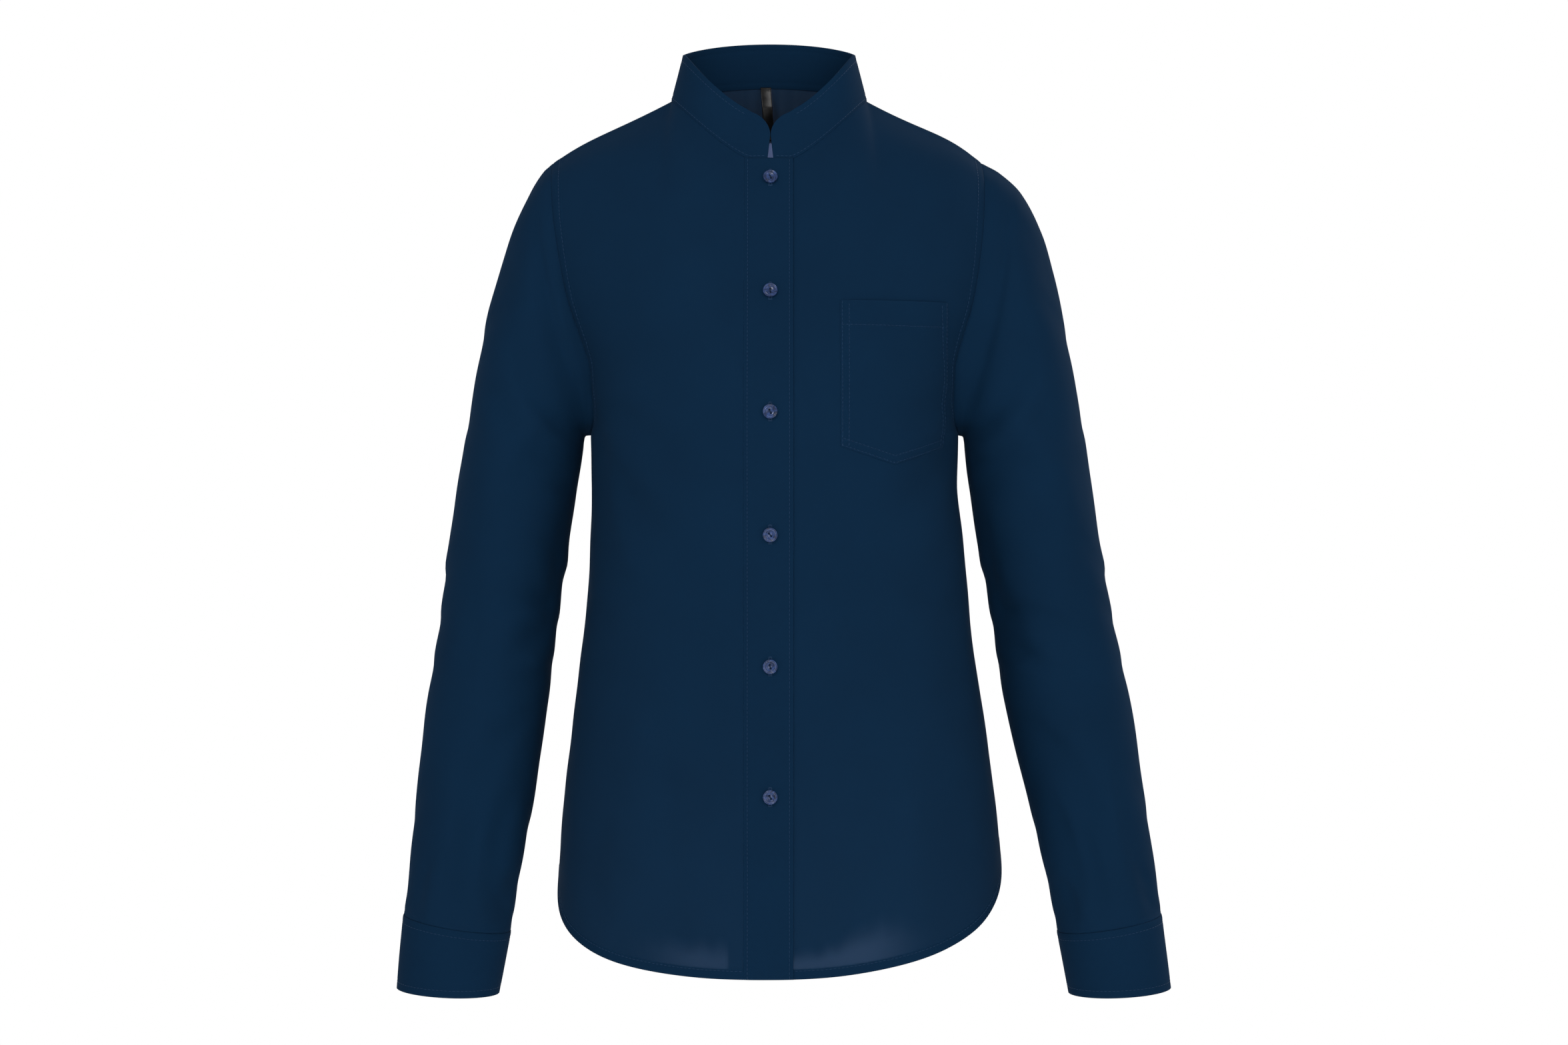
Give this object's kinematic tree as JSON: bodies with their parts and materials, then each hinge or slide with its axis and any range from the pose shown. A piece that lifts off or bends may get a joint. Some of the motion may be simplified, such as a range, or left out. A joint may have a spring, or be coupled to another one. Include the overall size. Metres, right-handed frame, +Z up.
{
  "type": "mandarin collar shirt",
  "caption": "Long-sleeved fitted shirt with a standing band collar, button front, chest pocket, buttoned cuffs and curved hem, filled out as worn.",
  "frame": {"origin": "middle of the neck base, level with the neck ends of the shoulder seams, where the wearer's neck and shoulders carry the shirt", "axes": "+Z up, -Y the way the front faces, +X towards the wearer's left sleeve"},
  "size_m": [0.5991, 0.2445, 0.7422],
  "materials": {
    "cloth": "navy cotton poplin, matt, plain weave",
    "ribbon": "black satin ribbon",
    "button": "slate blue, pearly, polished"
  },
  "bodies": {
    "root": {"front_left": "cloth", "front_right": "cloth", "back": "cloth", "collar": "cloth", "sleeve_left": "cloth", "sleeve_right": "cloth", "cuff_left": "cloth", "cuff_right": "cloth", "front_band": "cloth", "chest_pocket": "cloth", "sleeve_placket_left": "cloth", "sleeve_placket_right": "cloth", "neck_label": "ribbon", "button_1": "button", "button_2": "button", "button_3": "button", "button_4": "button", "button_5": "button", "button_6": "button", "cuff_button_left": "button", "cuff_button_right": "button"}
  },
  "joints": []
}
